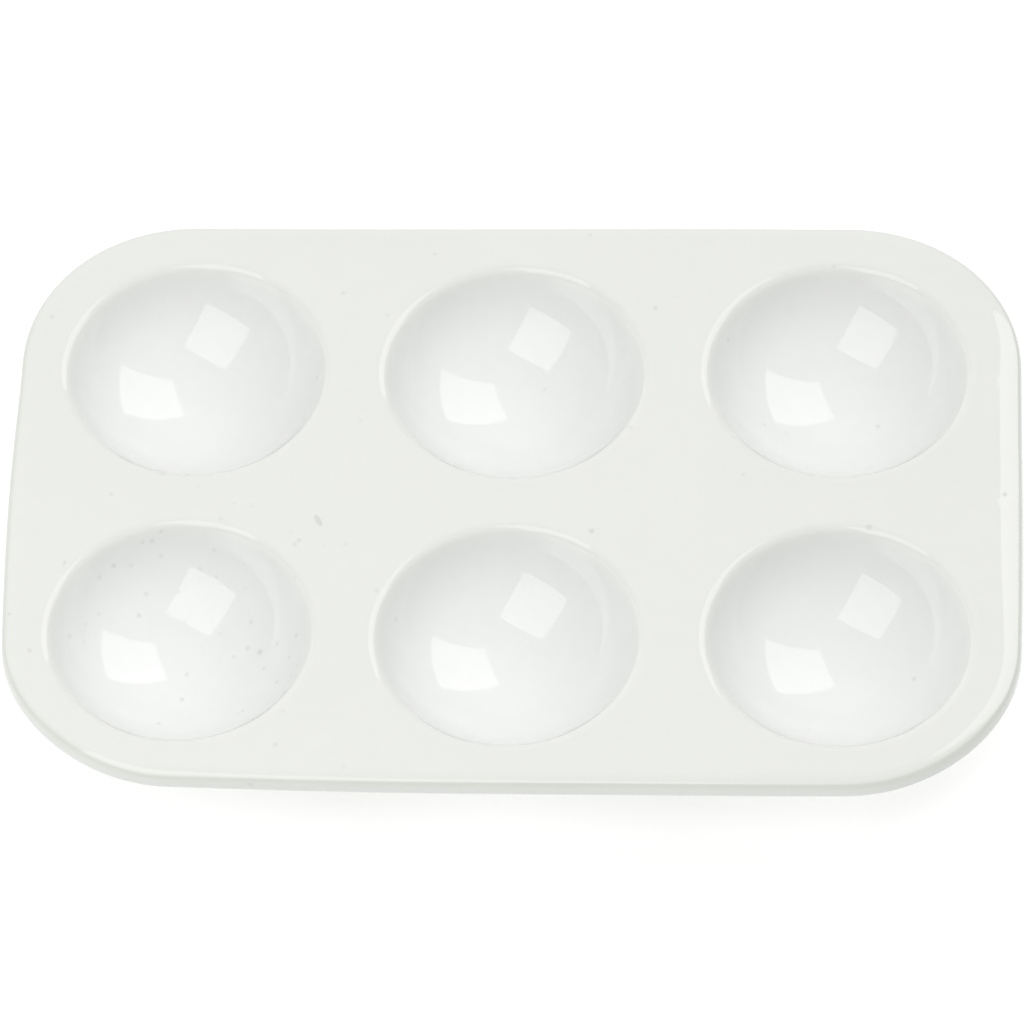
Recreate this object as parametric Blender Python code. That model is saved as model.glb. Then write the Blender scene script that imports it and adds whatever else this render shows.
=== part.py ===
"""Mixing palette with round wells: a fired clay body under a glaze coat.

The deck is a rounded plate with a grid of round, bowl-shaped wells. Each well hangs below the plate as
a shallow dome that ends in a bare flat foot. The glaze wraps the whole body except the feet.
Lengths are in metres, +Z is up, and the origin is under the centre of the palette, on the surface that
it stands on.
"""

import math

import bmesh
import bpy
from mathutils import Vector

MM = 0.001

# Driving dimensions of the finished, glazed palette
COLUMNS = 3
ROWS = 2
PITCH = 43.5 * MM  # well centre to well centre, both ways
LENGTH = 135.2 * MM
WIDTH = 92.4 * MM
CORNER_RADIUS = 23.0 * MM
BOWL_RADIUS = 19.8 * MM  # radius of the ball that the bowl is part of
BOWL_DEPTH = 10.8 * MM
RIM_RADIUS = 18.6 * MM  # where the flat deck ends and the rim starts to roll in
FLOOR = 2.6 * MM  # wall under the middle of a bowl, down to the foot
WALL = 2.6 * MM  # wall round the bowl
UNDER_FILLET = 2.0 * MM  # hollow between the dome and the plate's underside
FOOT_RADIUS = 7.0 * MM
FOOT_BEVEL = 0.4 * MM

# The plate's edge, from the deck down: a long soft shoulder, a quick turn, a short wall, a round lip
SHOULDER_RADIUS = 4.0 * MM
SHOULDER_END = math.radians(35)
TURN_RADIUS = 0.9 * MM
WALL_ANGLE = math.radians(84)
EDGE_WALL = 0.6 * MM
LIP_RADIUS = 0.9 * MM

# The glaze and the body are fused on the real palette; here a thin gap keeps them apart
GLAZE = 0.3 * MM
GAP = 0.3 * MM

# Facets
TURNS = 24  # round each well; a multiple of 8, so that cell corners meet
RIM_STEPS = 2
BOWL_STEPS = 5
DOME_STEPS = 3
SHOULDER_STEPS = 1
TURN_STEPS = 2
LIP_STEPS = 2

HEIGHT = BOWL_DEPTH + FLOOR
DECK_Z = HEIGHT
BALL_Z = DECK_Z + BOWL_RADIUS - BOWL_DEPTH  # height of the bowl's ball centre
WELD = 0.001 * MM


def arc(centre, radius, start, end, steps):
    """Points round a centre; the angle is turned outwards from straight up."""
    points = []
    for step in range(steps + 1):
        angle = start + (end - start) * step / steps
        points.append((centre[0] + radius * math.sin(angle), centre[1] + radius * math.cos(angle)))
    return points


def rim_fillet():
    """Radius of the rim's roll, which touches both the deck and the bowl's ball."""
    rise = BALL_Z - DECK_Z
    return (BOWL_RADIUS**2 - RIM_RADIUS**2 - rise**2) / (2 * (rise - BOWL_RADIUS))


def bowl_profile(depth):
    """Half section of a well from its rim to its middle, sunk by depth into the clay."""
    fillet = rim_fillet()
    rise = BALL_Z - DECK_Z + fillet
    turn = math.atan2(RIM_RADIUS, rise)
    rim = arc((RIM_RADIUS, DECK_Z - fillet), fillet - depth, 0, -turn, RIM_STEPS)
    ball = arc((0, BALL_Z), BOWL_RADIUS + depth, math.pi - turn, math.pi, BOWL_STEPS)
    ball[-1] = (0, BALL_Z - BOWL_RADIUS - depth)
    return rim + ball[1:]


def plate_thickness():
    """Height of the plate's edge, from the arcs and the wall that make it up."""
    shoulder = SHOULDER_RADIUS * (1 - math.cos(SHOULDER_END))
    turn = TURN_RADIUS * (math.cos(SHOULDER_END) - math.cos(WALL_ANGLE))
    lip = LIP_RADIUS * (1 + math.cos(WALL_ANGLE))
    return shoulder + turn + EDGE_WALL * math.sin(WALL_ANGLE) + lip


def dome_profile(depth, inner_radius):
    """Half section of a dome's outside, from the plate's underside down to inner_radius."""
    ball = BOWL_RADIUS + WALL
    under_z = DECK_Z - plate_thickness()
    reach = ball + UNDER_FILLET
    rise = BALL_Z - under_z + UNDER_FILLET
    centre = (math.sqrt(reach**2 - rise**2), under_z - UNDER_FILLET)
    turn = math.atan2(centre[0], rise)
    fillet = arc(centre, UNDER_FILLET + depth, 0, -turn, RIM_STEPS)
    end = math.pi - math.asin(inner_radius / (ball - depth))
    return fillet + arc((0, BALL_Z), ball - depth, math.pi - turn, end, DOME_STEPS)[1:]


def foot_profile():
    """Half section of a bare foot, from the dome down and in to the middle."""
    return [(FOOT_RADIUS, FOOT_BEVEL), (FOOT_RADIUS - FOOT_BEVEL, 0), (0, 0)]


def edge_profile(depth):
    """The plate's edge from deck to underside, as reach past the flat deck and height."""
    shoulder_centre = (0, DECK_Z - SHOULDER_RADIUS)
    inner = SHOULDER_RADIUS - TURN_RADIUS
    turn_centre = (inner * math.sin(SHOULDER_END), shoulder_centre[1] + inner * math.cos(SHOULDER_END))
    lip_centre = (
        turn_centre[0] + EDGE_WALL * math.cos(WALL_ANGLE),
        turn_centre[1] - EDGE_WALL * math.sin(WALL_ANGLE),
    )
    points = arc(shoulder_centre, SHOULDER_RADIUS - depth, 0, SHOULDER_END, SHOULDER_STEPS)
    points += arc(turn_centre, TURN_RADIUS - depth, SHOULDER_END, WALL_ANGLE, TURN_STEPS)[1:]
    points += arc(lip_centre, LIP_RADIUS - depth, WALL_ANGLE, math.pi, LIP_STEPS)
    points.append((0, points[-1][1]))
    return points


def edge_reach():
    """How far the edge stands out past the flat deck."""
    return max(reach for reach, _ in edge_profile(0))


def wells():
    """Centre of every well."""
    for column in range(COLUMNS):
        for row in range(ROWS):
            yield Vector((column - (COLUMNS - 1) / 2, row - (ROWS - 1) / 2)) * PITCH


def side_of(value):
    """Which way a direction points along one axis: -1, 0 or 1."""
    return (value > WELD) - (value < -WELD)


def side_reach(centre, axis, side):
    """Distance from a well to one side of its piece of deck, and whether that side is on the outline."""
    to_outline = (LENGTH, WIDTH)[axis] / 2 - edge_reach() - side * centre[axis]
    if to_outline < PITCH * 0.75:
        return to_outline, True
    return PITCH / 2, False


def cell_border(centre):
    """Border of a well's piece of deck: each point, with its way out where it is on the outline."""
    corner_radius = CORNER_RADIUS - edge_reach()
    border = []
    for turn in range(TURNS):
        angle = math.tau * turn / TURNS
        way = Vector((math.cos(angle), math.sin(angle)))
        sides = [side_of(way[axis]) or side_of(centre[axis]) for axis in (0, 1)]
        reaches = [side_reach(centre, axis, sides[axis]) for axis in (0, 1)]
        if all(on_outline for _, on_outline in reaches):
            corner = [centre[axis] + sides[axis] * (reaches[axis][0] - corner_radius) for axis in (0, 1)]
            border.append((Vector(corner) + way * corner_radius, way))
            continue
        square = way / max(abs(way.x), abs(way.y))
        point = Vector([centre[axis] + square[axis] * reaches[axis][0] for axis in (0, 1)])
        outward = None
        for axis in (0, 1):
            if reaches[axis][1] and abs(square[axis]) > 1 - WELD:
                outward = Vector([side_of(way[across]) if across == axis else 0 for across in (0, 1)])
        border.append((point, outward))
    return border


def turned(bm, centre, profile):
    """Turn a half section once round a well's upright axis."""
    points = [bm.verts.new((centre.x + radius, centre.y, height)) for radius, height in profile]
    lines = [bm.edges.new(pair) for pair in zip(points, points[1:])]
    middle = (centre.x, centre.y, 0)
    bmesh.ops.spin(bm, geom=points + lines, cent=middle, axis=(0, 0, 1), angle=math.tau, steps=TURNS,
                   use_merge=True)


def strip(bm, first, second):
    """Join two rows of points with a row of faces."""
    for index in range(len(first) - 1):
        corners = (first[index], first[index + 1], second[index + 1], second[index])
        bm.faces.new([bm.verts.new(corner) for corner in corners])


def deck_ring(bm, centre, border, radius, height):
    """Flat sheet between a round well and the border of its piece of deck."""
    inner = []
    outer = []
    for turn in range(TURNS + 1):
        angle = math.tau * turn / TURNS
        inner.append((centre.x + radius * math.cos(angle), centre.y + radius * math.sin(angle), height))
        outer.append((*border[turn % TURNS][0], height))
    strip(bm, inner, outer)


def edge_wall(bm, border, profile):
    """The plate's edge along the part of a border that is on the outline."""
    for turn in range(TURNS):
        pair = (border[turn], border[(turn + 1) % TURNS])
        if any(outward is None for _, outward in pair):
            continue
        rows = [[(*(point + outward * reach), height) for reach, height in profile] for point, outward in pair]
        strip(bm, *rows)


def skin(bm, depth, dome_ends):
    """The palette's whole surface, sunk by depth, with a dome section ending as dome_ends says."""
    edge = edge_profile(depth)
    for centre in wells():
        border = cell_border(centre)
        bowl = bowl_profile(depth)
        turned(bm, centre, bowl)
        turned(bm, centre, dome_ends)
        deck_ring(bm, centre, border, bowl[0][0], edge[0][1])
        deck_ring(bm, centre, border, dome_ends[0][0], edge[-1][1])
        edge_wall(bm, border, edge)


def clay_shape(bm):
    """The fired clay, with a bare flat foot under every well."""
    depth = GLAZE + GAP
    skin(bm, depth, dome_profile(depth, FOOT_RADIUS) + foot_profile())


def glaze_shape(bm):
    """The glaze: an outer and an inner skin, joined round the hole at each foot."""
    hole = FOOT_RADIUS + GAP
    outer = dome_profile(0, hole)
    inner = dome_profile(GLAZE, hole)
    skin(bm, 0, outer)
    skin(bm, GLAZE, inner)
    for centre in wells():
        turned(bm, centre, [outer[-1], inner[-1]])


def material(name, colour, roughness):
    """A plain Principled material."""
    made = bpy.data.materials.new(name)
    made.use_nodes = True
    shader = made.node_tree.nodes["Principled BSDF"]
    shader.inputs["Base Color"].default_value = (*colour, 1)
    shader.inputs["Roughness"].default_value = roughness
    shader.inputs["Metallic"].default_value = 0
    return made


def solid(name, shape, look):
    """One closed body from a shape function, smooth with crisp corners."""
    bm = bmesh.new()
    shape(bm)
    bmesh.ops.remove_doubles(bm, verts=bm.verts, dist=WELD)
    bmesh.ops.dissolve_degenerate(bm, edges=bm.edges, dist=WELD)
    bmesh.ops.recalc_face_normals(bm, faces=bm.faces)
    mesh = bpy.data.meshes.new(name)
    bm.to_mesh(mesh)
    bm.free()
    mesh.materials.append(look)
    mesh.shade_smooth()
    mesh.set_sharp_from_angle(angle=math.radians(40))
    made = bpy.data.objects.new(name, mesh)
    bpy.context.collection.objects.link(made)
    return made


def main():
    """Clear the scene and build the palette."""
    for old in list(bpy.data.objects):
        bpy.data.objects.remove(old)
    solid("clay_body", clay_shape, material("bisque", (0.80, 0.77, 0.70), 0.85))
    solid("glaze_coat", glaze_shape, material("glaze", (0.86, 0.87, 0.82), 0.12))


main()
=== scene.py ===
"""Visual model of a porcelain mixing palette: glaze coat, clay body and a plain studio."""

import math

import bmesh
import bpy
import numpy as np
from bpy.props import FloatProperty, FloatVectorProperty, PointerProperty
from mathutils import Matrix, Vector


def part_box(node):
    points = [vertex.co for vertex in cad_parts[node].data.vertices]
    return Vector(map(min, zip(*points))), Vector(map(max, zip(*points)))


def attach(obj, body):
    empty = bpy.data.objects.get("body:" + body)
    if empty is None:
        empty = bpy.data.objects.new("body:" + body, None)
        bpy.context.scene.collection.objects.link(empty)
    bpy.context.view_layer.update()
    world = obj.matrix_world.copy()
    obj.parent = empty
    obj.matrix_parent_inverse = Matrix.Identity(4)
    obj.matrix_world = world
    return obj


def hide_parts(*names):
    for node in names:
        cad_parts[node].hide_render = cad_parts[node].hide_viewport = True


bl_info = {
    "name": "Porcelain mixing palette",
    "version": (1, 0, 0),
    "blender": (4, 5, 0),
    "location": "3D View > Sidebar > Palette",
    "description": "Builds a glazed porcelain palette with round wells on a plain studio floor",
    "category": "Add Mesh",
}

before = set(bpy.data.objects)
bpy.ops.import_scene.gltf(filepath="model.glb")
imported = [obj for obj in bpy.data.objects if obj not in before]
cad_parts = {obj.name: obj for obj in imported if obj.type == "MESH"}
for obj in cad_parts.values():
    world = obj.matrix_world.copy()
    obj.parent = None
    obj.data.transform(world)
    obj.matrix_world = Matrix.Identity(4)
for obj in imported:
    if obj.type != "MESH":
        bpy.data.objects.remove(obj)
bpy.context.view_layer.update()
GLAZE_LOW, GLAZE_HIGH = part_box("glaze_coat")

MM = 0.001
WELD = 0.001 * MM
COLUMNS = 3
ROWS = 2
TURNS = 160  # faces round each well; a multiple of 8, so that cell corners meet
RIM_STEPS = 16
BOWL_STEPS = 26
DOME_STEPS = 14
DECK_STEPS = 6
SHOULDER_STEPS = 6
TURN_STEPS = 6
LIP_STEPS = 6
WORN_STEPS = 5
FOOT_RINGS = 4
OUTER_WELL = 0.75  # a well nearer than this to the outline, in pitches, is an outer one
SHARP_ANGLE = math.radians(50)  # the meshes are smooth across every edge that turns less than this

# Where the slip-cast outline strays from a true rounded rectangle, in millimetres: the place, how far the
# stray spreads along X and Y, and the push along X and Y.
EDGE_STRAYS = (
    (0, -46, 60, 10, 0.0, 0.45),  # the front edge bows in
    (-42, -46, 14, 10, 0.0, 0.5),
    (-61, -40, 12, 12, 0.85, 1.0),  # the front left corner is the roundest
    (61, -40, 12, 12, -0.35, 0.4),
    (61, 40, 12, 12, 0.3, 0.1),  # the back right corner is the squarest
    (67, 5, 10, 26, 0.42, 0.0),  # the right edge bows out
    (32, 46, 30, 10, 0.0, 0.45),  # so does the right half of the back edge
    (-67, 0, 10, 12, -0.25, 0.0),
    (-66, 24, 10, 10, 0.3, 0.0),
)
EDGE_BAND = 6 * MM  # the outline's strays fade out over this much of the plate
# How far each well sits off the grid, column by column from the front, in millimetres along X and Y
WELL_STRAYS = ((-0.1, 0.2), (0.1, -0.2), (-0.2, -0.2), (-0.3, -0.4), (0.1, 0.0), (-0.2, 0.15))
# The plate's slow waves: their height, how they turn in radians per metre, and where they start in radians
WAVE_HEIGHT = 0.03 * MM
WAVE_X = (61, 1.3)
WAVE_Y = (74, -0.4)
WAVE_SLANT = 83
WAVE_FLOOR = 0.2  # share of the deck's height below which nothing waves

# Pinholes at set places, in millimetres: each one's X, Y and radius, and how dark it is from 0 to 1
PINHOLES = (
    (-47, -5, 0.4, 0.7),
    (-51, -8.5, 0.45, 0.5),
    (-49, -11, 0.4, 0.6),
    (-55, -11, 0.45, 0.6),
    (-55, -15, 0.35, 0.5),
    (-58.5, -20, 0.4, 0.6),
    (-42, -8, 0.45, 0.5),
    (-33.5, -19.5, 0.5, 1.0),
    (-36, -30, 0.4, 0.5),
    (-29, -7.5, 0.4, 0.6),
    (10.5, -5, 0.5, 0.9),
    (47.5, -4, 0.5, 0.8),
    (8.5, 36, 0.4, 0.7),
    (28.5, 28.5, 0.4, 0.7),
    (53.5, -23, 0.45, 0.8),
    (65.5, 1.5, 0.35, 1.0),
    (-66.5, -19, 0.35, 1.0),
)
# The scattered pinholes: cells per metre, how far from its cell's point a dot starts and is full, in cells,
# and the share of cells that hold a dot, inside the crowd and away from it
PINHOLE_CELLS = 330.0
PINHOLE_REACH = (0.17, 0.05)
PINHOLE_SHARES = (0.95, 0.10)
PINHOLE_CROWD = (-38, -14, 28)  # where they crowd, in millimetres: X, Y and how far they reach
PINHOLE_DARKNESS = 0.22
PINHOLE_PIT = 0.03 * MM
DRAG_MARK = ((-26.4, -2.7), (-25.6, -4.4))  # X and Y of the two ends of a short dark mark, in millimetres
DRAG_MARK_EDGE = (0.25 * MM, 0.05 * MM)

FACING_UP = -0.2  # faces whose way out has more than this along Z take the colours of the top
WALL_SHADE_DEPTHS = (0.5 * MM, 2 * MM)  # below the deck, where the wall colour starts and is full: the wells' cooler tint, darkened as painted shade on the upper well walls
POOL_LIGHT_DEPTHS = (1.5 * MM, 8 * MM)  # the same for the pool colour: the wells' cooler tint, brightened as painted light in the bowls' bottoms
EDGE_SHADE_TILT = (0.96, 0.80)  # how level a face is where the painted shade on the outer edge starts and is full
RIM_CLEAR = 1.16  # the outer edge is further than this from every well, in rim radii
MOTTLE_TINT = (0.984, 0.986, 0.985)
STAIN_SHADE = 0.86

FLOOR_REACH = 4.0
FLOOR_WHITE = 0.7
FLOOR_GLOW = 0.43
WALL_RISE = 0.35  # the walls' brightest places are a little above the horizon
SWEEP_SIDE = (-0.3, -0.6)  # X of the directions, of length 1, where the sweep starts and is full
SWEEP_TOP = (0.27, 0.26)  # the same for Z


# ---------------------------------------------------------------- settings


def length(label, text, value):
    """A length property with its default in metres."""
    return FloatProperty(name=label, description=text, default=value, min=0, precision=6, unit="LENGTH",
                         subtype="DISTANCE")


def turn(label, text, degrees):
    """An angle property with its default in degrees."""
    return FloatProperty(name=label, description=text, default=math.radians(degrees), unit="ROTATION",
                         subtype="ANGLE")


def colour(label, text, value):
    """A colour property."""
    return FloatVectorProperty(name=label, description=text, default=value, min=0, max=1, size=3,
                               subtype="COLOR")


def share(label, text, value, most=1.0):
    """A plain number from 0 to most."""
    return FloatProperty(name=label, description=text, default=value, min=0, max=most, precision=3)


class PaletteSizes(bpy.types.PropertyGroup):
    """Sizes of the palette; the overall size comes from the frame."""

    pitch: length("Pitch", "From one well's centre to the next", 43.5 * MM)
    length: length("Length", "Along the three wells", GLAZE_HIGH.x - GLAZE_LOW.x)
    width: length("Width", "Across the two rows", GLAZE_HIGH.y - GLAZE_LOW.y)
    deck: length("Deck height", "Top of the plate above the table", GLAZE_HIGH.z)
    corner: length("Corner radius", "Outline corner in plan", 23.0 * MM)
    ball: length("Bowl radius", "Radius of the ball that a bowl is part of", 19.8 * MM)
    depth: length("Bowl depth", "Deck down to the middle of a bowl", 10.8 * MM)
    rim: length("Rim radius", "Where the deck starts to roll into a bowl", 18.6 * MM)
    wall: length("Wall", "Thickness of the ware round a bowl", 2.6 * MM)
    foot: length("Foot radius", "Bare flat foot under a bowl", 7.0 * MM)
    glaze: length("Glaze thickness", "Thickness of the glass coat", 0.3 * MM)
    gap: length("Gap", "Between the coat and the clay", 0.3 * MM)
    shoulder: length("Shoulder radius", "Soft roll from the deck to the edge", 4.0 * MM)
    shoulder_end: turn("Shoulder end", "Slope at which the shoulder turns down quickly", 24)
    lip: length("Lip radius", "Quick turn and underside lip of the edge", 0.9 * MM)
    edge_wall: length("Edge wall", "Straight part of the edge", 0.9 * MM)
    edge_slope: turn("Edge slope", "Slope of the straight part of the edge", 84)
    fillet: length("Dome fillet", "Hollow between a dome and the plate's underside", 2.0 * MM)


class PaletteLook(bpy.types.PropertyGroup):
    """Colours and finish of the glaze and the clay."""

    deck: colour("Glaze on the deck", "Thin glaze over the flat plate", (0.852, 0.864, 0.824))
    # The wall and pool colours hold the wells' cooler tint with painted shade and light: the wall colour is
    # darker as painted shade on the upper well walls, the pool colour brighter as painted light in the
    # bowls' bottoms.
    wall: colour("Glaze on the well walls", "Glaze that has run down the steep walls", (0.840, 0.850, 0.838))
    pool: colour("Glaze in the wells", "Thicker glaze pooled in the bowls", (0.918, 0.930, 0.916))
    # The edge colour is painted shade: it darkens the tilted faces of the outer edge.
    edge_painted_shade: colour("Thin glaze", "Tint where the glaze runs thin at the outer edge", (0.850, 0.860, 0.840))
    speck: colour("Pinhole", "Inside of a pinhole or a speck", (0.30, 0.33, 0.28))
    clay: colour("Bare clay", "Unglazed fired clay at the feet", (0.78, 0.74, 0.67))
    gloss: share("Gloss roughness", "Roughness of the glaze's own surface", 0.015)
    gloss_index: share("Gloss index", "Refractive index of the glaze", 1.5, 3)
    waviness: length("Waviness", "Height of the slow waves in the glaze", 0.012 * MM)
    peel: length("Orange peel", "Height of the fine ripple in the glaze", 0.0004 * MM)


class StageSettings(bpy.types.PropertyGroup):
    """Camera and lamps."""

    camera_turn: turn("Camera turn", "Camera's place round the palette from the front", 3.57)
    camera_rise: turn("Camera rise", "Camera's height over the deck as an angle", 54.19)
    camera_roll: turn("Camera roll", "Tilt of the camera about its own axis", -2.53)
    camera_distance: length("Camera distance", "From the deck's centre", 1.1665)
    lens: FloatProperty(name="Lens", description="Focal length in millimetres", default=306.9, min=10)
    front_lamp: share("Front lamp", "Brightness of the front lamp's face", 1.84, 10)
    rear_lamp: share("Rear lamp", "Brightness of the rear lamp's face", 1.75, 10)
    room: share("Room", "Even brightness of the white room", 0.35, 10)
    ceiling: share("Ceiling", "Extra brightness of the ceiling", 0.13, 10)
    back_wall: share("Back wall", "Extra brightness of the wall behind", 0.44, 10)
    front_wall: share("Front wall", "Extra brightness of the wall in front", 0.31, 10)
    sweep: share("Sweep", "Extra brightness of the low white sweep on the left", 0.95, 10)


# ------------------------------------------------------------- mesh helpers


def arc(centre, radius, start, end, steps):
    """Points round a centre; the angle is turned outwards from straight up."""
    points = []
    for step in range(steps + 1):
        angle = start + (end - start) * step / steps
        points.append((centre[0] + radius * math.sin(angle), centre[1] + radius * math.cos(angle)))
    return points


def smooth_step(value, low, high):
    """Smooth step from 0 at low to 1 at high."""
    way = np.clip((value - low) / (high - low), 0, 1)
    return way * way * (3 - 2 * way)


class PaletteShape:
    """Sections and plan of the palette, worked out from its sizes."""

    def __init__(self, sizes):
        self.sizes = sizes
        self.ball_z = sizes.deck + sizes.ball - sizes.depth
        self.rise = self.ball_z - sizes.deck
        self.roll = (sizes.rim**2 + self.rise**2 - sizes.ball**2) / (2 * (sizes.ball - self.rise))
        self.edge_reach = max(reach for reach, _ in self.edge(0))
        self.under_z = self.edge(0)[-1][1]

    def bowl(self, depth):
        """Half section of a well from its rim to its middle, sunk by depth."""
        sizes = self.sizes
        angle = math.atan2(sizes.rim, self.rise + self.roll)
        rim = arc((sizes.rim, sizes.deck - self.roll), self.roll - depth, 0, -angle, RIM_STEPS)
        ball = arc((0, self.ball_z), sizes.ball + depth, math.pi - angle, math.pi, BOWL_STEPS)
        ball[-1] = (0, self.ball_z - sizes.ball - depth)
        return rim + ball[1:]

    def dome(self, depth, inner_radius):
        """Half section of a dome's outside, from the plate's underside down to inner_radius."""
        sizes = self.sizes
        ball = sizes.ball + sizes.wall
        rise = self.ball_z - self.under_z + sizes.fillet
        centre = (math.sqrt((ball + sizes.fillet) ** 2 - rise**2), self.under_z - sizes.fillet)
        angle = math.atan2(centre[0], rise)
        hollow = arc(centre, sizes.fillet + depth, 0, -angle, RIM_STEPS)
        end = math.pi - math.asin(inner_radius / (ball - depth))
        return hollow + arc((0, self.ball_z), ball - depth, math.pi - angle, end, DOME_STEPS)[1:]

    def foot(self):
        """Half section of a bare foot with a softly worn corner."""
        worn = 0.5 * MM
        corner = arc((self.sizes.foot - worn, worn), worn, math.pi / 2, math.pi, WORN_STEPS)
        return corner + [(self.sizes.foot * ring / FOOT_RINGS, 0) for ring in reversed(range(FOOT_RINGS))]

    def edge(self, depth):
        """The plate's edge from deck to underside, as reach past the flat deck and height."""
        sizes = self.sizes
        shoulder = (0, sizes.deck - sizes.shoulder)
        inner = sizes.shoulder - sizes.lip
        quick = (inner * math.sin(sizes.shoulder_end), shoulder[1] + inner * math.cos(sizes.shoulder_end))
        lip = (
            quick[0] + sizes.edge_wall * math.cos(sizes.edge_slope),
            quick[1] - sizes.edge_wall * math.sin(sizes.edge_slope),
        )
        points = arc(shoulder, sizes.shoulder - depth, 0, sizes.shoulder_end, SHOULDER_STEPS)
        points += arc(quick, sizes.lip - depth, sizes.shoulder_end, sizes.edge_slope, TURN_STEPS)[1:]
        points += arc(lip, sizes.lip - depth, sizes.edge_slope, math.pi, LIP_STEPS)
        points.append((0, points[-1][1]))
        return points

    def wells(self):
        """Centre of every well."""
        for column in range(COLUMNS):
            for row in range(ROWS):
                yield Vector((column - (COLUMNS - 1) / 2, row - (ROWS - 1) / 2)) * self.sizes.pitch

    def on_top(self, place_x, place_y):
        """The point of the top surface over a place given in millimetres."""
        place = Vector((place_x, place_y)) * MM
        centre = min(self.wells(), key=lambda well: (well - place).length)
        out = (centre - place).length
        sunk = 0 if out > self.sizes.rim else self.ball_z - math.sqrt(self.sizes.ball**2 - out**2)
        return Vector((*place, min(self.sizes.deck, sunk or self.sizes.deck)))

    def side_reach(self, centre, axis, side):
        """Distance from a well to one side of its piece of deck, and whether that is the outline."""
        half = (self.sizes.length, self.sizes.width)[axis] / 2
        to_outline = half - self.edge_reach - side * centre[axis]
        if to_outline < self.sizes.pitch * OUTER_WELL:
            return to_outline, True
        return self.sizes.pitch / 2, False

    def border(self, centre):
        """Border of a well's piece of deck: each point, with its way out if it is on the outline."""
        corner_radius = self.sizes.corner - self.edge_reach
        points = []
        for step in range(TURNS):
            angle = math.tau * step / TURNS
            way = Vector((math.cos(angle), math.sin(angle)))
            sides = [side_of(way[axis]) or side_of(centre[axis]) for axis in (0, 1)]
            reaches = [self.side_reach(centre, axis, sides[axis]) for axis in (0, 1)]
            if all(on_outline for _, on_outline in reaches):
                corner = [centre[axis] + sides[axis] * (reaches[axis][0] - corner_radius) for axis in (0, 1)]
                points.append((Vector(corner) + way * corner_radius, way))
                continue
            square = way / max(abs(way.x), abs(way.y))
            point = Vector([centre[axis] + square[axis] * reaches[axis][0] for axis in (0, 1)])
            outward = None
            for axis in (0, 1):
                if reaches[axis][1] and abs(square[axis]) > 1 - WELD:
                    outward = Vector([side_of(way[across]) if across == axis else 0 for across in (0, 1)])
            points.append((point, outward))
        return points

    def by_hand(self, points):
        """Moves points the way the real ware strays from its drawing."""
        sizes = self.sizes
        x, y, z = points.T.astype(float)
        move_x = np.zeros_like(x)
        move_y = np.zeros_like(y)
        past_x = np.abs(x) - (sizes.length / 2 - sizes.corner)
        past_y = np.abs(y) - (sizes.width / 2 - sizes.corner)
        round_corner = np.hypot(np.maximum(past_x, 0), np.maximum(past_y, 0))
        outline = round_corner + np.minimum(np.maximum(past_x, past_y), 0) - sizes.corner
        at_edge = smooth_step(outline, -EDGE_BAND, 0)
        for place_x, place_y, spread_x, spread_y, push_x, push_y in EDGE_STRAYS:
            away = ((x - place_x * MM) / (spread_x * MM)) ** 2 + ((y - place_y * MM) / (spread_y * MM)) ** 2
            near = np.exp(-away / 2) * at_edge
            move_x += push_x * MM * near
            move_y += push_y * MM * near
        for centre, (push_x, push_y) in zip(self.wells(), WELL_STRAYS):
            away = np.hypot(x - centre.x, y - centre.y)
            near = 1 - smooth_step(away, sizes.rim, sizes.pitch / 2)
            move_x += push_x * MM * near
            move_y += push_y * MM * near
        crossed = np.sin(x * WAVE_X[0] + WAVE_X[1]) * np.cos(y * WAVE_Y[0] + WAVE_Y[1])
        slow = crossed + 0.5 * np.sin((x + 2 * y) * WAVE_SLANT)
        lift = smooth_step(z, WAVE_FLOOR * sizes.deck, sizes.deck)
        return np.stack((x + move_x, y + move_y, z + WAVE_HEIGHT * slow * lift), axis=1)


def side_of(value):
    """Which way a direction points along one axis: -1, 0 or 1."""
    return (value > WELD) - (value < -WELD)


class Sheets:
    """Grids of points that are welded into one mesh."""

    def __init__(self):
        self.quads = []

    def grid(self, points):
        """Adds a grid of points, as rows of (x, y, z)."""
        rows = np.asarray(points, float)
        corners = (rows[:-1, :-1], rows[1:, :-1], rows[1:, 1:], rows[:-1, 1:])
        self.quads.append(np.stack(corners, axis=2).reshape(-1, 4, 3))

    def turned(self, centre, profile):
        """Turns a half section once round a well's upright axis."""
        angles = np.linspace(0, math.tau, TURNS + 1)[:, None]
        radius, height = np.array(profile).T
        across = centre.x + np.cos(angles) * radius
        along = centre.y + np.sin(angles) * radius
        self.grid(np.stack((across, along, np.broadcast_to(height, across.shape)), axis=2))

    def mesh(self, name, reshape):
        """Welds the grids into a closed mesh that faces out, and reshapes its points."""
        corners = np.concatenate(self.quads).reshape(-1, 3)
        _, first, index = np.unique(np.round(corners / WELD), axis=0, return_index=True, return_inverse=True)
        faces = [list(dict.fromkeys(face)) for face in index.reshape(-1, 4).tolist()]
        mesh = bpy.data.meshes.new(name)
        mesh.from_pydata(corners[first], [], [face for face in faces if len(face) > 2])
        bm = bmesh.new()
        bm.from_mesh(mesh)
        bmesh.ops.recalc_face_normals(bm, faces=bm.faces)
        bm.to_mesh(mesh)
        bm.free()
        points = np.empty(len(mesh.vertices) * 3, np.float32)
        mesh.vertices.foreach_get("co", points)
        mesh.vertices.foreach_set("co", reshape(points.reshape(-1, 3)).ravel())
        mesh.update()
        return mesh


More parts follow.
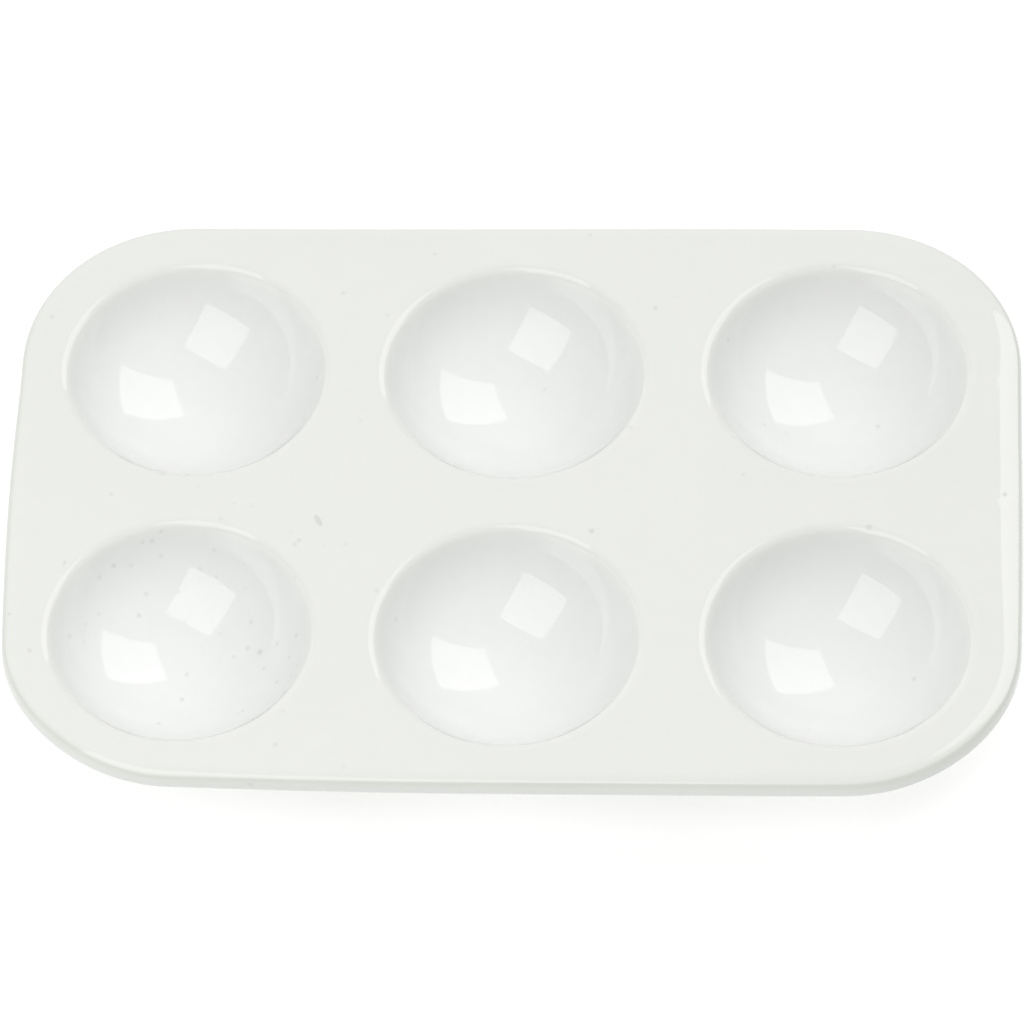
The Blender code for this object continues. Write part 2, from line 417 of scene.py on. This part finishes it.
def skin(sheets, shape, depth, dome):
    """The palette's whole surface, sunk by depth; dome is the half section under each well."""
    edge = shape.edge(depth)
    angles = [math.tau * place / TURNS for place in range(TURNS + 1)]
    for centre in shape.wells():
        border = shape.border(centre)
        bowl = shape.bowl(depth)
        sheets.turned(centre, bowl)
        sheets.turned(centre, dome)
        for radius, height in ((bowl[0][0], edge[0][1]), (dome[0][0], edge[-1][1])):
            rows = []
            for step in range(DECK_STEPS + 1):
                row = []
                for place, angle in enumerate(angles):
                    inner = centre + radius * Vector((math.cos(angle), math.sin(angle)))
                    row.append((*inner.lerp(border[place % TURNS][0], step / DECK_STEPS), height))
                rows.append(row)
            sheets.grid(rows)
        for place in range(TURNS):
            pair = (border[place], border[(place + 1) % TURNS])
            if all(outward is not None for _, outward in pair):
                rows = []
                for point, outward in pair:
                    rows.append([(*(point + outward * reach), height) for reach, height in edge])
                sheets.grid(rows)


def finish_piece(name, sheets, shape, look, node):
    """Makes one smooth, closed piece of the palette that stands for a node of the frame."""
    mesh = sheets.mesh(name, shape.by_hand)
    mesh.materials.append(look)
    mesh.shade_smooth()
    mesh.set_sharp_from_angle(angle=SHARP_ANGLE)
    piece = bpy.data.objects.new(name, mesh)
    bpy.context.scene.collection.objects.link(piece)
    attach(piece, "root")
    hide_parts(node)
    return piece


# ------------------------------------------------------------ shader helpers


class Signal:
    """A shader socket that takes part in Python arithmetic by adding Math nodes."""

    def __init__(self, tree, socket):
        self.tree = tree
        self.socket = socket

    def math(self, operation, *values):
        """Adds one Math node on these values."""
        node = self.tree.nodes.new("ShaderNodeMath")
        node.operation = operation
        for place, value in zip(node.inputs, values):
            connect(self.tree, place, value)
        return Signal(self.tree, node.outputs[0])

    def __add__(self, other):
        return self.math("ADD", self, other)

    def __radd__(self, other):
        return self.math("ADD", other, self)

    def __sub__(self, other):
        return self.math("SUBTRACT", self, other)

    def __rsub__(self, other):
        return self.math("SUBTRACT", other, self)

    def __mul__(self, other):
        return self.math("MULTIPLY", self, other)

    def __rmul__(self, other):
        return self.math("MULTIPLY", other, self)

    def __gt__(self, other):
        return self.math("GREATER_THAN", self, other)

    def __lt__(self, other):
        return self.math("LESS_THAN", self, other)

    def most(self, other):
        """The larger of two values."""
        return self.math("MAXIMUM", self, other)


def connect(tree, place, value):
    """Links a signal to an input, or sets the input's value."""
    if isinstance(value, Signal):
        tree.links.new(value.socket, place)
    else:
        place.default_value = value


class Finish:
    """A material, or the world's light, under construction."""

    def __init__(self, name, kind=None):
        library = bpy.data.materials if kind is None else kind
        self.material = library.new(name)
        self.material.use_nodes = True
        self.tree = self.material.node_tree
        self.tree.nodes.clear()

    def node(self, kind, settings=None, inputs=None):
        """Adds a node: its settings first, then the values or links of its sockets."""
        made = self.tree.nodes.new("ShaderNode" + kind)
        for name, value in (settings or {}).items():
            setattr(made, name, value)
        for name, value in (inputs or {}).items():
            connect(self.tree, made.inputs[name], value)
        return made

    def signal(self, node, output):
        """One output of a node."""
        return Signal(self.tree, node.outputs[output])

    def place(self):
        """Position on the piece, in metres, as a vector and as its three parts."""
        where = self.signal(self.node("TexCoord"), "Object")
        parts = self.node("SeparateXYZ", inputs={"Vector": where})
        return where, *(self.signal(parts, axis) for axis in "XYZ")

    def smooth(self, value, low, high, start=0.0, end=1.0):
        """Smooth step of a value, from start at low to end at high."""
        settings = {"interpolation_type": "SMOOTHSTEP"}
        inputs = {"Value": value, "From Min": low, "From Max": high, "To Min": start, "To Max": end}
        return self.signal(self.node("MapRange", settings, inputs), "Result")

    def noise(self, where, scale, detail=2.0, roughness=0.5):
        """Noise from about 0 to 1."""
        inputs = {"Vector": where, "Scale": scale, "Detail": detail, "Roughness": roughness}
        return self.signal(self.node("TexNoise", inputs=inputs), "Fac")

    def mix(self, factor, first, second, blend="MIX"):
        """Mixes the second colour into the first, or multiplies it in, as blend says."""
        node = self.node("Mix", {"data_type": "RGBA", "blend_type": blend})
        colour_inputs = (node.inputs["Factor"], node.inputs[6], node.inputs[7])
        for place, value in zip(colour_inputs, (factor, first, second)):
            connect(self.tree, place, value)
        return Signal(self.tree, node.outputs[2])

    def distance(self, where, place):
        """How far a position is from a place."""
        node = self.node("VectorMath", {"operation": "DISTANCE"}, {0: where, 1: place})
        return self.signal(node, "Value")

    def bump(self, height, distance):
        """A normal from a height, in metres per unit of height."""
        node = self.node("Bump", inputs={"Height": height, "Distance": distance, "Strength": 1.0})
        return self.signal(node, "Normal")

    def surface(self, inputs):
        """The Principled shader and the material output."""
        shader = self.node("BsdfPrincipled", inputs=inputs)
        self.node("OutputMaterial", inputs={"Surface": self.signal(shader, "BSDF")})
        return self.material


def opaque(value):
    """A colour with full alpha."""
    return (*value, 1.0)


# ---------------------------------------------------------------- finishes


def pinholes(made, where, shape):
    """Mask of the small dark pinholes in the glaze: a scattered field, and a few at set places."""
    crowd = shape.on_top(*PINHOLE_CROWD[:2])
    reach = PINHOLE_CROWD[2] * MM
    kept = made.smooth(made.distance(where, crowd), reach / 2, reach, *PINHOLE_SHARES)
    cells = made.node("TexVoronoi", inputs={"Vector": where, "Scale": PINHOLE_CELLS})
    chance = made.signal(made.node("SeparateColor", inputs={"Color": made.signal(cells, "Color")}), "Red")
    dots = made.smooth(made.signal(cells, "Distance"), *PINHOLE_REACH) * (kept > chance)
    dots = dots * made.smooth(made.noise(where, scale=300.0), low=0.35, high=0.65, start=0.3, end=0.9)
    for place_x, place_y, radius, darkness in PINHOLES:
        away = made.distance(where, shape.on_top(place_x, place_y))
        outer = 1.3 * radius * MM
        inner = 0.3 * radius * MM
        dots = dots.most(made.smooth(away, outer, inner, end=darkness))
    return dots


def drag_mark(made, where, shape):
    """Mask of the one short dark mark on the deck: a slim ellipse about two points."""
    ends = [shape.on_top(*end) for end in DRAG_MARK]
    reach = (ends[0] - ends[1]).length
    both = made.distance(where, ends[0]) + made.distance(where, ends[1])
    outer, inner = DRAG_MARK_EDGE
    return made.smooth(both, reach + outer, reach + inner)


def edge_shade_mask(x, y, up, made, sizes):
    """Mask of the painted shade on the palette's outer edge: tilted faces that are further from every well
    than its rim.
    """
    across = x.math("ABSOLUTE", x)
    along = y.math("ABSOLUTE", y) - sizes.pitch / 2
    column = across * (1 / sizes.pitch)
    column = column.math("MINIMUM", column.math("ROUND", column), (COLUMNS - 1) / 2)
    across = across - column * sizes.pitch
    outside = (across * across + along * along) > (sizes.rim * RIM_CLEAR) ** 2
    return made.smooth(up, *EDGE_SHADE_TILT) * outside


def glaze_finish(look, sizes):
    """Clear gloss glaze on white porcelain: shallow and warm on the deck, deeper and cooler in the wells,
    with painted shade on the upper well walls and the outer edge and painted light in the bowls' bottoms.
    """
    made = Finish("porcelain glaze")
    shape = PaletteShape(sizes)
    where, x, y, z = made.place()
    faces = made.signal(made.node("NewGeometry"), "Normal")
    up = made.signal(made.node("SeparateXYZ", inputs={"Vector": faces}), "Z")
    on_top = up > FACING_UP
    # Painted shade and light in the wells: the wall colour darkens the upper walls, the pool colour
    # brightens the bowls' bottoms, over the wells' cooler tint.
    wall_tint_and_shade = made.smooth(z, *(sizes.deck - depth for depth in WALL_SHADE_DEPTHS)) * on_top
    pool_tint_and_light = made.smooth(z, *(sizes.deck - depth for depth in POOL_LIGHT_DEPTHS)) * on_top
    base = made.mix(wall_tint_and_shade, opaque(look.deck), opaque(look.wall))
    base = made.mix(pool_tint_and_light, base, opaque(look.pool))
    mottle = made.smooth(made.noise(where, scale=60.0, detail=3.0), low=0.35, high=0.7, end=0.5)
    cloud = made.smooth(made.noise(where, scale=320.0, detail=2.0), low=0.35, high=0.7, end=0.5)
    base = made.mix(mottle + cloud, base, opaque(MOTTLE_TINT), "MULTIPLY")
    # Painted shade on the outer edge's tilted faces.
    base = made.mix(edge_shade_mask(x, y, up, made, sizes), base, opaque(look.edge_painted_shade), "MULTIPLY")
    dots = pinholes(made, where, shape) * on_top
    mark = drag_mark(made, where, shape) * on_top
    base = made.mix(dots.most(mark) * PINHOLE_DARKNESS, base, opaque(look.speck))
    waves = made.noise(where, scale=70.0, detail=1.0)
    peel = made.noise(where, scale=700.0, detail=1.0)
    height = waves * look.waviness + peel * look.peel - dots * PINHOLE_PIT
    return made.surface({
        "Base Color": base,
        "Roughness": look.gloss,
        "IOR": look.gloss_index,
        "Normal": made.bump(height, distance=1.0),
    })


def clay_finish(look):
    """Bare fired clay: matt, faintly grainy."""
    made = Finish("bare clay")
    where = made.place()[0]
    grain = made.noise(where, scale=900.0, detail=4.0, roughness=0.6)
    stain = made.smooth(made.noise(where, scale=90.0, detail=3.0), low=0.3, high=0.75)
    stained = [STAIN_SHADE * part for part in look.clay]
    return made.surface({
        "Base Color": made.mix(stain, opaque(look.clay), opaque(stained)),
        "Roughness": made.smooth(grain, low=0.2, high=0.8, start=0.75, end=0.95),
        "Normal": made.bump(grain, distance=0.08 * MM),
    })


# ---------------------------------------------------------------- operators


class PALETTE_OT_clay_body(bpy.types.Operator):
    """Make the fired clay body with its bare feet"""

    bl_idname = "palette.clay_body"
    bl_label = "Clay Body"

    def execute(self, context):
        sizes = context.scene.palette_sizes
        shape = PaletteShape(sizes)
        depth = sizes.glaze + sizes.gap
        sheets = Sheets()
        skin(sheets, shape, depth, shape.dome(depth, sizes.foot) + shape.foot())
        finish_piece("clay", sheets, shape, clay_finish(context.scene.palette_look), "clay_body")
        return {"FINISHED"}


class PALETTE_OT_glaze_coat(bpy.types.Operator):
    """Make the glaze coat that covers the body except at its feet"""

    bl_idname = "palette.glaze_coat"
    bl_label = "Glaze Coat"

    def execute(self, context):
        sizes = context.scene.palette_sizes
        shape = PaletteShape(sizes)
        hole = sizes.foot + sizes.gap
        outer = shape.dome(0, hole)
        inner = shape.dome(sizes.glaze, hole)
        sheets = Sheets()
        skin(sheets, shape, 0, outer)
        skin(sheets, shape, sizes.glaze, inner)
        for centre in shape.wells():
            sheets.turned(centre, [outer[-1], inner[-1]])
        finish = glaze_finish(context.scene.palette_look, sizes)
        finish_piece("glaze", sheets, shape, finish, "glaze_coat")
        return {"FINISHED"}


def add_floor():
    """A wide plain white floor."""
    mesh = bpy.data.meshes.new("floor")
    corners = []
    for side, end in ((-1, -1), (1, -1), (1, 1), (-1, 1)):
        corners.append((side * FLOOR_REACH, end * FLOOR_REACH, 0))
    mesh.from_pydata(corners, [], [(0, 1, 2, 3)])
    look = Finish("floor").surface({
        "Base Color": opaque([FLOOR_WHITE] * 3),
        "Roughness": 0.9,
        "Specular IOR Level": 0.0,
        "Emission Color": opaque([1] * 3),
        "Emission Strength": FLOOR_GLOW,
    })
    mesh.materials.append(look)
    floor = bpy.data.objects.new("floor", mesh)
    bpy.context.scene.collection.objects.link(floor)


def add_lamp(name, place, aim, spin, width, height, brightness):
    """A soft box: a bright rectangle at place, facing aim, with its face turned by spin."""
    lamp = bpy.data.lights.new(name, "AREA")
    lamp.shape = "RECTANGLE"
    lamp.size = width
    lamp.size_y = height
    lamp.energy = brightness * math.pi * width * height
    facing = (Vector(aim) - Vector(place)).normalized()
    level = Vector((0, 0, 1)).cross(facing).normalized()
    across = level * math.cos(spin) + facing.cross(level) * math.sin(spin)
    axes = Matrix((across, (-facing).cross(across), -facing)).transposed()
    made = bpy.data.objects.new(name, lamp)
    made.matrix_world = Matrix.Translation(place) @ axes.to_4x4()
    bpy.context.scene.collection.objects.link(made)


def white_room(stage):
    """A white room, brighter at its ceiling, at the walls in front and behind and at a sweep on the left."""
    made = Finish("white room", bpy.data.worlds)
    where = made.signal(made.node("TexCoord"), "Generated")
    walls = (
        ((0, 0, 1), stage.ceiling),
        ((0, 1, WALL_RISE), stage.back_wall),
        ((0, -1, WALL_RISE), stage.front_wall),
    )
    strength = stage.room
    for way, brightness in walls:
        inputs = {0: where, 1: Vector(way).normalized()}
        toward = made.node("VectorMath", {"operation": "DOT_PRODUCT"}, inputs)
        facing = made.signal(toward, "Value").most(0)
        strength = strength + facing * facing * brightness
    parts = made.node("SeparateXYZ", inputs={"Vector": where})
    to_left = made.smooth(made.signal(parts, "X"), *SWEEP_SIDE)
    under_top = made.smooth(made.signal(parts, "Z"), *SWEEP_TOP)
    strength = strength + to_left * under_top * stage.sweep
    light = made.node("Background", inputs={"Color": (1, 1, 1, 1), "Strength": strength})
    made.node("OutputWorld", inputs={"Surface": made.signal(light, "Background")})
    return made.material


def add_camera(stage, aim):
    """A long lens that looks down on the deck from the front."""
    turned_by = stage.camera_turn
    rise = stage.camera_rise
    level = math.cos(rise)
    back = Vector((math.sin(turned_by) * level, -math.cos(turned_by) * level, math.sin(rise)))
    right = Vector((math.cos(turned_by), math.sin(turned_by), 0))
    up = back.cross(right)
    roll = stage.camera_roll
    axes = (math.cos(roll) * right + math.sin(roll) * up, math.cos(roll) * up - math.sin(roll) * right, back)
    camera = bpy.data.cameras.new("camera")
    camera.lens = stage.lens
    camera.sensor_width = 36
    camera.clip_end = 50
    camera.dof.use_dof = False
    made = bpy.data.objects.new("camera", camera)
    place = aim + back * stage.camera_distance
    made.matrix_world = Matrix.Translation(place) @ Matrix(axes).transposed().to_4x4()
    bpy.context.scene.collection.objects.link(made)
    bpy.context.scene.camera = made


class PALETTE_OT_stage(bpy.types.Operator):
    """Make the floor, the room light, the lamps and the camera"""

    bl_idname = "palette.stage"
    bl_label = "Stage"

    def execute(self, context):
        scene = context.scene
        stage = scene.palette_stage
        deck = scene.palette_sizes.deck
        add_floor()
        add_lamp(
            "front_lamp",
            place=(-0.171, -0.197, deck + 0.398),
            aim=(-0.072, 0.105, deck),
            spin=math.radians(13.8),
            width=0.351,
            height=0.334,
            brightness=stage.front_lamp,
        )
        add_lamp(
            "rear_lamp",
            place=(0.445, 0.438, deck + 0.735),
            aim=(-0.495, -0.185, deck),
            spin=math.radians(109.8),
            width=0.774,
            height=0.651,
            brightness=stage.rear_lamp,
        )
        add_camera(stage, aim=Vector((-0.0002, -0.0013, deck - 0.0009)))
        scene.world = white_room(stage)
        scene.view_settings.view_transform = "Standard"
        scene.view_settings.look = "None"
        return {"FINISHED"}


class PALETTE_PT_panel(bpy.types.Panel):
    """Sidebar panel with the palette's operators and settings"""

    bl_label = "Mixing Palette"
    bl_idname = "PALETTE_PT_panel"
    bl_space_type = "VIEW_3D"
    bl_region_type = "UI"
    bl_category = "Palette"

    def draw(self, context):
        for operator in OPERATORS:
            self.layout.operator(operator.bl_idname)
        for group in (context.scene.palette_sizes, context.scene.palette_look, context.scene.palette_stage):
            box = self.layout.box()
            for name in group.__annotations__:
                box.prop(group, name)


OPERATORS = (PALETTE_OT_clay_body, PALETTE_OT_glaze_coat, PALETTE_OT_stage)
CLASSES = (PaletteSizes, PaletteLook, StageSettings, *OPERATORS, PALETTE_PT_panel)


def register():
    """Registers the classes and the scene's settings."""
    for item in CLASSES:
        bpy.utils.register_class(item)
    bpy.types.Scene.palette_sizes = PointerProperty(type=PaletteSizes)
    bpy.types.Scene.palette_look = PointerProperty(type=PaletteLook)
    bpy.types.Scene.palette_stage = PointerProperty(type=StageSettings)


def unregister():
    """Removes the scene's settings and the classes."""
    del bpy.types.Scene.palette_stage
    del bpy.types.Scene.palette_look
    del bpy.types.Scene.palette_sizes
    for item in reversed(CLASSES):
        bpy.utils.unregister_class(item)


def main():
    """Builds every piece and the stage."""
    register()
    bpy.ops.palette.clay_body()
    bpy.ops.palette.glaze_coat()
    bpy.ops.palette.stage()
    bpy.context.view_layer.update()


if __name__ == "__main__":
    main()
